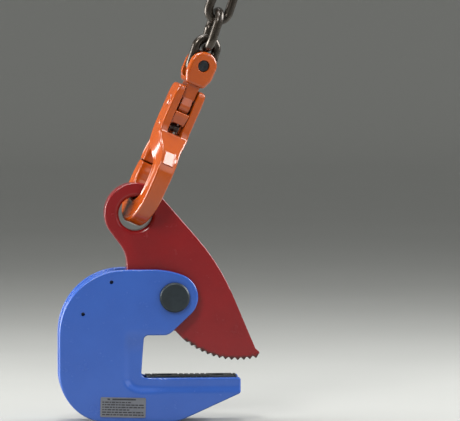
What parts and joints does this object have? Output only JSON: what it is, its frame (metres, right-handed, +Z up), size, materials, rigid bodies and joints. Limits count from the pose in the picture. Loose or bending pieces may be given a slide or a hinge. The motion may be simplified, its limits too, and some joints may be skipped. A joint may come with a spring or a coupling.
{
  "type": "plate lifting clamp",
  "caption": "Plate lifting clamp with a toothed cam lever between two side plates, a self-locking sling hook in its eye and a short chain.",
  "frame": {"origin": "centre of the lower jaw seat, on the pad's top face", "axes": "+X out of the jaw mouth, +Y across the clamp's thickness away from the rating plate, +Z up from the lower jaw towards the cam"},
  "size_m": [0.2219, 0.081, 0.4875],
  "materials": {
    "blue_paint": "semi-gloss enamel",
    "red_paint": "semi-gloss enamel",
    "orange_paint": "gloss powder coat over forging",
    "black_steel": "black oxide",
    "chain_steel": "oiled dark alloy steel",
    "bronze": "machined bronze",
    "plain_steel": "bright machined steel",
    "label": "printed foil plate with plain lines"
  },
  "bodies": {
    "clamp_frame": {"front_side_plate": "blue_paint", "rear_side_plate": "blue_paint", "core_plate": "blue_paint", "jaw_pad": "black_steel", "jaw_pad_screw_1": "plain_steel", "jaw_pad_screw_2": "plain_steel", "pivot_pin": "black_steel", "pin_washer": "plain_steel", "pin_circlip": "black_steel", "rating_plate": "label"},
    "cam": {"cam_lever": "red_paint", "cam_bush": "bronze", "thrust_washer_front": "plain_steel", "thrust_washer_rear": "plain_steel"},
    "hook": {"hook_bowl": "orange_paint", "hinge_pin": "orange_paint", "trigger_pin": "orange_paint", "trigger_spring": "plain_steel"},
    "trigger": {"trigger": "orange_paint"},
    "latch": {"latch_body": "orange_paint", "load_pin": "black_steel", "load_pin_retainer": "plain_steel"},
    "link_1": {"chain_link_1": "chain_steel"},
    "link_2": {"chain_link_2": "chain_steel"},
    "link_3": {"chain_link_3": "chain_steel"}
  },
  "joints": [
    {"name": "cam_swing", "type": "hinge", "parent": "clamp_frame", "child": "cam", "pos_m": [-0.0215, 0, 0.0877], "axis": [0, 1, 0], "range_deg": [-15, 12.6]},
    {"name": "hook_swing", "type": "hinge", "parent": "cam", "child": "hook", "pos_m": [-0.0638, 0, 0.1792], "axis": [0, 1, 0], "range_deg": [-60, 50]},
    {"name": "trigger_press", "type": "hinge", "parent": "hook", "child": "trigger", "pos_m": [-0.02129, -0.00195, 0.27357], "axis": [0.8901, 0.225, -0.3963], "range_deg": [0, 14]},
    {"name": "latch_open", "type": "hinge", "parent": "hook", "child": "latch", "pos_m": [-0.01092, 0, 0.29796], "axis": [0.8901, 0.225, -0.3963], "range_deg": [0, 35]},
    {"name": "link_1_swing", "type": "hinge", "parent": "latch", "child": "link_1", "pos_m": [0.00901, 0, 0.34272], "axis": [-0.2055, 0.9744, 0.0915], "range_deg": [-40, 40]},
    {"name": "link_2_swing", "type": "hinge", "parent": "link_1", "child": "link_2", "pos_m": [0.01866, -0.00067, 0.37149], "axis": [0.9256, 0.2239, -0.3053], "range_deg": [-35, 35]},
    {"name": "link_3_swing", "type": "hinge", "parent": "link_2", "child": "link_3", "pos_m": [0.0287, -0.00136, 0.40144], "axis": [-0.2055, 0.9744, 0.0915], "range_deg": [-35, 35]}
  ]
}
